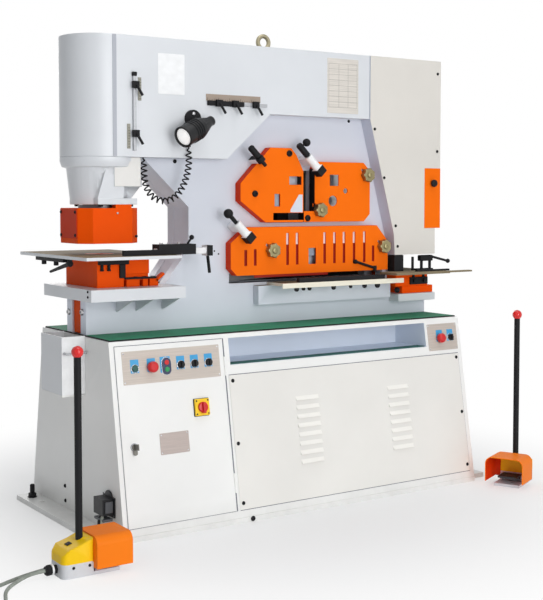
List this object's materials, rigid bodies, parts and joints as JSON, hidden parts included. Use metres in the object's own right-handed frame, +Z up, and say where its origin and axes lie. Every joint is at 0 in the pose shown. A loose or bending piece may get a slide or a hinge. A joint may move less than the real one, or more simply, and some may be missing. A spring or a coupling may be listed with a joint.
{
  "type": "hydraulic ironworker",
  "caption": "Hydraulic ironworker with a punching station, angle, bar and flat shears behind sliding guards, a notcher, a cabinet with switchgear, a work lamp and foot pedals.",
  "frame": {"origin": "floor under the middle of the cabinet", "axes": "+X along the cabinet towards the notcher, -Y towards the operator, +Z up"},
  "size_m": [2.6832, 1.3031, 1.8873],
  "materials": {
    "body_paint": "satin grey-white paint",
    "cover_paint": "satin cream paint",
    "guard_orange": "satin orange paint",
    "block_orange": "satin deep orange paint",
    "mat_green": "matte ribbed rubber",
    "bare_steel": "machined steel",
    "beam_paint": "satin grey paint",
    "zinc": "yellow zinc plate",
    "black_steel": "black oxide",
    "black_plastic": "matte black plastic",
    "red_plastic": "gloss red plastic",
    "green_plastic": "gloss green plastic",
    "pedal_casting": "cast and painted metal",
    "treadle": "matte rubber",
    "cord_black": "matte black",
    "cord_grey": "matte dark grey",
    "motor_paint": "blue-grey motor paint",
    "gear_plastic": "grey switchgear"
  },
  "bodies": {
    "machine": {"base_plate": "body_paint", "cabinet": "body_paint", "louvre_panel": "body_paint", "deck_mat": "mat_green", "side_plate_front": "body_paint", "side_plate_rear": "body_paint", "frame_spacers": "bare_steel", "upper_cover": "body_paint", "right_cover": "cover_paint", "punch_housing": "body_paint", "punch_cylinder": "body_paint", "neck_casting": "body_paint", "lifting_eye": "bare_steel", "work_tray": "body_paint", "die_block": "block_orange", "stripper": "block_orange", "punch_table": "bare_steel", "fixed_blades": "bare_steel", "shear_cylinder": "body_paint", "corner_guard": "guard_orange", "flat_table": "body_paint", "notch_table": "bare_steel", "notch_die": "block_orange", "guard_fittings": "zinc", "stroke_stops": "black_steel", "hydraulic_tank": "body_paint", "pump_motor": "motor_paint", "electric_panel": "gear_plastic", "cable_socket": "black_plastic", "pedal_bases": "pedal_casting", "pedal_hoods": "guard_orange", "pedal_cable": "cord_grey", "lamp_cord": "cord_black", "lamp_arm": "black_steel"},
    "ram": {"punch_ram": "bare_steel"},
    "beam": {"shear_beam": "beam_paint", "moving_blades": "bare_steel"},
    "shear_piston": {"cylinder_rod": "bare_steel"},
    "door_body": {"door": "body_paint"},
    "door_key_body": {"door_key": "zinc"},
    "main_switch_body": {"main_switch": "red_plastic"},
    "green_button_body": {"green_button": "green_plastic"},
    "red_button_body": {"red_button": "red_plastic"},
    "start_button_body": {"start_button": "green_plastic"},
    "stop_button_body": {"stop_button": "red_plastic"},
    "selector_1_body": {"selector_1": "black_plastic"},
    "selector_2_body": {"selector_2": "black_plastic"},
    "selector_3_body": {"selector_3": "black_plastic"},
    "notch_red_button_body": {"notch_red_button": "red_plastic"},
    "notch_selector_body": {"notch_selector": "black_plastic"},
    "slug_drawer_body": {"slug_drawer": "body_paint"},
    "bar_guard_body": {"bar_guard": "guard_orange"},
    "flat_guard_body": {"flat_guard": "guard_orange"},
    "holddown_screw_1_body": {"holddown_screw_1": "black_steel"},
    "holddown_screw_2_body": {"holddown_screw_2": "black_steel"},
    "holddown_screw_3_body": {"holddown_screw_3": "black_steel"},
    "lamp_head_body": {"lamp_head": "black_plastic"},
    "treadle_left_body": {"treadle_left": "treadle"},
    "treadle_right_body": {"treadle_right": "treadle"},
    "punch_fence_body": {"punch_fence": "bare_steel"}
  },
  "joints": [
    {"name": "ram_stroke", "type": "slide", "parent": "machine", "child": "ram", "axis": [0, 0, -1], "range_m": [0, 0.06]},
    {"name": "beam_swing", "type": "hinge", "parent": "machine", "child": "beam", "pos_m": [-0.285, 0, 1.1], "axis": [0, 1, 0], "range_deg": [0, 3]},
    {"name": "piston_stroke", "type": "slide", "parent": "machine", "child": "shear_piston", "axis": [0, 0, -1], "range_m": [0, 0.0523]},
    {"name": "door_swing", "type": "hinge", "parent": "machine", "child": "door_body", "pos_m": [-0.365, -0.35843, 0.36574], "axis": [0, 0.1649, 0.9863], "range_deg": [0, 110]},
    {"name": "green_press", "type": "slide", "parent": "door_body", "child": "green_button_body", "axis": [0, 0.9863, -0.1649], "range_m": [0, 0.004], "stiffness_N_per_m": 400, "springref_m": -0.004},
    {"name": "red_press", "type": "slide", "parent": "door_body", "child": "red_button_body", "axis": [0, 0.9863, -0.1649], "range_m": [0, 0.006], "stiffness_N_per_m": 400, "springref_m": -0.004},
    {"name": "start_press", "type": "slide", "parent": "door_body", "child": "start_button_body", "axis": [0, 0.9863, -0.1649], "range_m": [0, 0.004], "stiffness_N_per_m": 400, "springref_m": -0.004},
    {"name": "stop_press", "type": "slide", "parent": "door_body", "child": "stop_button_body", "axis": [0, 0.9863, -0.1649], "range_m": [0, 0.004], "stiffness_N_per_m": 400, "springref_m": -0.004},
    {"name": "selector_1_turn", "type": "hinge", "parent": "door_body", "child": "selector_1_body", "pos_m": [-0.554, -0.31455, 0.601], "axis": [0, -0.9863, 0.1649], "range_deg": [-45, 45]},
    {"name": "selector_2_turn", "type": "hinge", "parent": "door_body", "child": "selector_2_body", "pos_m": [-0.496, -0.31455, 0.601], "axis": [0, -0.9863, 0.1649], "range_deg": [-45, 45]},
    {"name": "selector_3_turn", "type": "hinge", "parent": "door_body", "child": "selector_3_body", "pos_m": [-0.436, -0.31455, 0.601], "axis": [0, -0.9863, 0.1649], "range_deg": [-45, 45]},
    {"name": "main_switch_turn", "type": "hinge", "parent": "door_body", "child": "main_switch_body", "pos_m": [-0.483, -0.34179, 0.438], "axis": [0, -0.9863, 0.1649], "range_deg": [0, 90]},
    {"name": "key_turn", "type": "hinge", "parent": "door_body", "child": "door_key_body", "pos_m": [-0.769, -0.36034, 0.327], "axis": [0, -0.9863, 0.1649], "range_deg": [0, 90]},
    {"name": "notch_red_press", "type": "slide", "parent": "machine", "child": "notch_red_button_body", "axis": [0, 0.9863, -0.1649], "range_m": [0, 0.006], "stiffness_N_per_m": 400, "springref_m": -0.004},
    {"name": "notch_selector_turn", "type": "hinge", "parent": "machine", "child": "notch_selector_body", "pos_m": [0.778, -0.31237, 0.614], "axis": [0, -0.9863, 0.1649], "range_deg": [-45, 45]},
    {"name": "drawer_slide", "type": "slide", "parent": "machine", "child": "slug_drawer_body", "axis": [0, -1, 0], "range_m": [0, 0.14]},
    {"name": "bar_guard_slide", "type": "slide", "parent": "machine", "child": "bar_guard_body", "axis": [0.7071, 0, -0.7071], "range_m": [0, 0.016]},
    {"name": "flat_guard_slide", "type": "slide", "parent": "machine", "child": "flat_guard_body", "axis": [0.7071, 0, -0.7071], "range_m": [0, 0.016]},
    {"name": "holddown_1_turn", "type": "hinge", "parent": "machine", "child": "holddown_screw_1_body", "pos_m": [-0.136, -0.152, 1.045], "axis": [-0.7071, 0, 0.7071], "continuous": true},
    {"name": "holddown_2_turn", "type": "hinge", "parent": "machine", "child": "holddown_screw_2_body", "pos_m": [0.209, -0.152, 1.314], "axis": [-0.7071, 0, 0.7071], "continuous": true},
    {"name": "holddown_3_turn", "type": "hinge", "parent": "machine", "child": "holddown_screw_3_body", "pos_m": [-0.071, -0.152, 1.345], "axis": [-0.7071, 0, 0.7071], "continuous": true},
    {"name": "lamp_turn", "type": "hinge", "parent": "machine", "child": "lamp_head_body", "pos_m": [-0.42403, -0.21117, 1.47038], "axis": [-0.0105, 0.8352, -0.5499], "range_deg": [-8, 25]},
    {"name": "treadle_left_press", "type": "hinge", "parent": "machine", "child": "treadle_left_body", "pos_m": [-1.046, -0.6, 0.029], "axis": [0, 1, 0], "range_deg": [0, 10], "stiffness_Nm_per_rad": 3, "springref_deg": -8.59},
    {"name": "treadle_right_press", "type": "hinge", "parent": "machine", "child": "treadle_right_body", "pos_m": [0.93655, -0.53436, 0.029], "axis": [0.4384, -0.8988, 0], "range_deg": [0, 10], "stiffness_Nm_per_rad": 3, "springref_deg": -8.59},
    {"name": "fence_slide", "type": "slide", "parent": "machine", "child": "punch_fence_body", "axis": [1, 0, 0], "range_m": [-0.04, 0.045]}
  ],
  "couplings": [
    {"joint": "piston_stroke", "follows": "beam_swing", "m_per_rad": 0.995}
  ]
}
